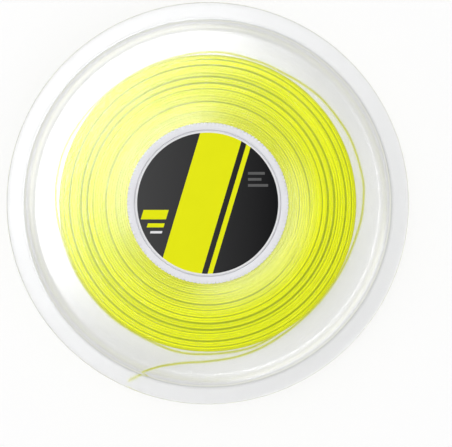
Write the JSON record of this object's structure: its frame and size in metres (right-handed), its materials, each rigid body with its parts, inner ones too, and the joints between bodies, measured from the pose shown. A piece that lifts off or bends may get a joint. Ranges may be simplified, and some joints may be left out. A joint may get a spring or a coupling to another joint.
{
  "type": "racket string reel",
  "caption": "Round reel of racket string: translucent dished flanges on a capped drum, knurled collars, wound string with a loose last turn and free end.",
  "frame": {"origin": "centre of the rear collar's face, on which the reel lies", "axes": "+Z along the reel's axis from the rear side to the front side; +Y is up as the front side is read"},
  "size_m": [0.24, 0.24, 0.0304],
  "materials": {
    "drum_white": "matt white moulded plastic",
    "flange_translucent": "milky translucent moulded plastic with a soft gloss",
    "collar_white": "satin white moulded plastic",
    "cap_white": "matt white moulded plastic",
    "label_white": "coated white label paper",
    "label_black": "coated label paper printed black",
    "tape_paper": "masking tape",
    "string_yellow": "glossy neon yellow polyester monofilament"
  },
  "bodies": {
    "reel": {"hub_core": "drum_white", "spindle_tube": "drum_white", "rear_flange": "flange_translucent", "rear_collar": "collar_white", "rear_cap": "cap_white", "rear_label": "label_black", "start_tape": "tape_paper", "string_winding": "string_yellow", "string_end": "string_yellow"},
    "front_flange": {"front_flange": "flange_translucent"},
    "front_collar": {"front_collar": "collar_white"},
    "front_cap": {"front_cap": "cap_white", "front_label": "label_white"}
  },
  "joints": [
    {"name": "front_flange_lift", "type": "slide", "parent": "reel", "child": "front_flange", "axis": [0, 0, 1], "range_m": [0, 0.045]},
    {"name": "front_collar_pull", "type": "slide", "parent": "front_flange", "child": "front_collar", "axis": [0, 0, 1], "range_m": [0, 0.025]},
    {"name": "front_cap_pull", "type": "slide", "parent": "front_collar", "child": "front_cap", "axis": [0, 0, 1], "range_m": [0, 0.025]}
  ]
}
